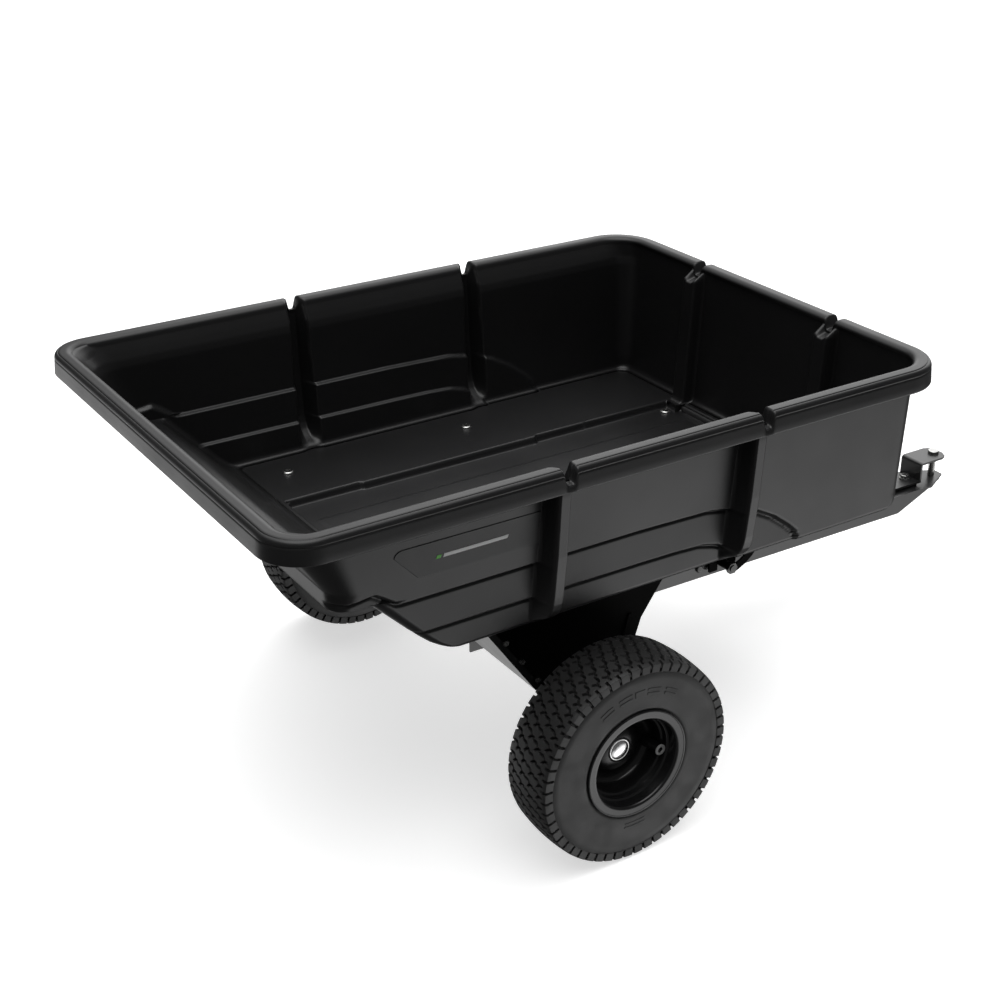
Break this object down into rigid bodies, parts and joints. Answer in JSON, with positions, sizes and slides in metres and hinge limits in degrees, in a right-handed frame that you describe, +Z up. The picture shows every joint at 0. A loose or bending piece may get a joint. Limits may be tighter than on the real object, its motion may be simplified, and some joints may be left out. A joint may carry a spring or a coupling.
{
  "type": "tow behind cart",
  "caption": "Tow-behind garden dump cart: moulded tub on two turf-tyred wheels that tips backwards about the axle, with a foot-height latch, a channel tongue and a pin hitch",
  "frame": {"origin": "On the hitch pin's axis, halfway up the gap of the hitch where the towing plate goes, 196 mm above the ground", "axes": "+X forward, towards the towing vehicle; +Y to the cart's left; +Z up, with the tongue level as when hitched"},
  "size_m": [1.6142, 0.9166, 0.6389],
  "materials": {
    "tub_plastic": "moulded black polyethylene, fine grain",
    "badge_plastic": null,
    "black_steel": "black powder coat",
    "dark_steel": "oiled dark steel",
    "bright_zinc": "bright zinc plate",
    "spring_steel": "bright spring wire",
    "hub_chrome": "chrome plate",
    "rim_paint": "semi-gloss black paint",
    "tyre_rubber": "black turf tyre",
    "grip_rubber": "matt black rubber",
    "bearing_plastic": "dark nylon"
  },
  "bodies": {
    "tongue": {"tongue": "black_steel", "tongue_brace": "black_steel", "tongue_bolts": "bright_zinc", "tongue_nuts": "bright_zinc", "rest_pad": "grip_rubber", "cross_bolt": "bright_zinc", "cross_bolt_nut": "bright_zinc", "cross_bolt_spacers": "dark_steel", "hitch_bracket": "black_steel", "hitch_spacer": "dark_steel", "hitch_bolts": "bright_zinc", "hitch_nuts": "bright_zinc", "axle": "dark_steel", "axle_washer_left": "bright_zinc", "axle_washer_right": "bright_zinc", "hub_cap_left": "hub_chrome", "hub_cap_right": "hub_chrome"},
    "bed": {"tub": "tub_plastic", "badge_left": "badge_plastic", "badge_right": "badge_plastic", "axle_leg_left": "black_steel", "axle_leg_right": "black_steel", "rear_web": "black_steel", "web_bolts": "bright_zinc", "web_nuts": "bright_zinc", "floor_bolts": "bright_zinc", "floor_nuts": "bright_zinc", "front_support": "black_steel", "latch_bushes": "bearing_plastic", "latch_bolt": "bright_zinc", "latch_nut": "bright_zinc"},
    "latch": {"latch_hooks": "black_steel", "latch_lever": "black_steel", "latch_grip": "grip_rubber"},
    "wheel_left": {"tyre_left": "tyre_rubber", "rim_left": "rim_paint", "valve_stem_left": "grip_rubber", "wheel_bushes_left": "bearing_plastic"},
    "wheel_right": {"tyre_right": "tyre_rubber", "rim_right": "rim_paint", "valve_stem_right": "grip_rubber", "wheel_bushes_right": "bearing_plastic"},
    "pin": {"hitch_pin": "bright_zinc"},
    "clip": {"hitch_clip": "spring_steel"}
  },
  "joints": [
    {"name": "bed_tilt", "type": "hinge", "parent": "tongue", "child": "bed", "pos_m": [-1.064, 0, -0.031], "axis": [0, -1, 0], "range_deg": [0, 50]},
    {"name": "latch_swing", "type": "hinge", "parent": "bed", "child": "latch", "pos_m": [-0.5665, 0, 0.032], "axis": [0, 1, 0], "range_deg": [0, 26]},
    {"name": "wheel_left_spin", "type": "hinge", "parent": "tongue", "child": "wheel_left", "pos_m": [-1.064, 0.4097, -0.031], "axis": [0, 1, 0], "continuous": true},
    {"name": "wheel_right_spin", "type": "hinge", "parent": "tongue", "child": "wheel_right", "pos_m": [-1.064, -0.4097, -0.031], "axis": [0, 1, 0], "continuous": true},
    {"name": "pin_lift", "type": "slide", "parent": "tongue", "child": "pin", "axis": [0, 0, 1], "range_m": [0, 0.012]},
    {"name": "clip_pull", "type": "slide", "parent": "pin", "child": "clip", "axis": [1, 0, 0], "range_m": [0, 0.045]}
  ]
}
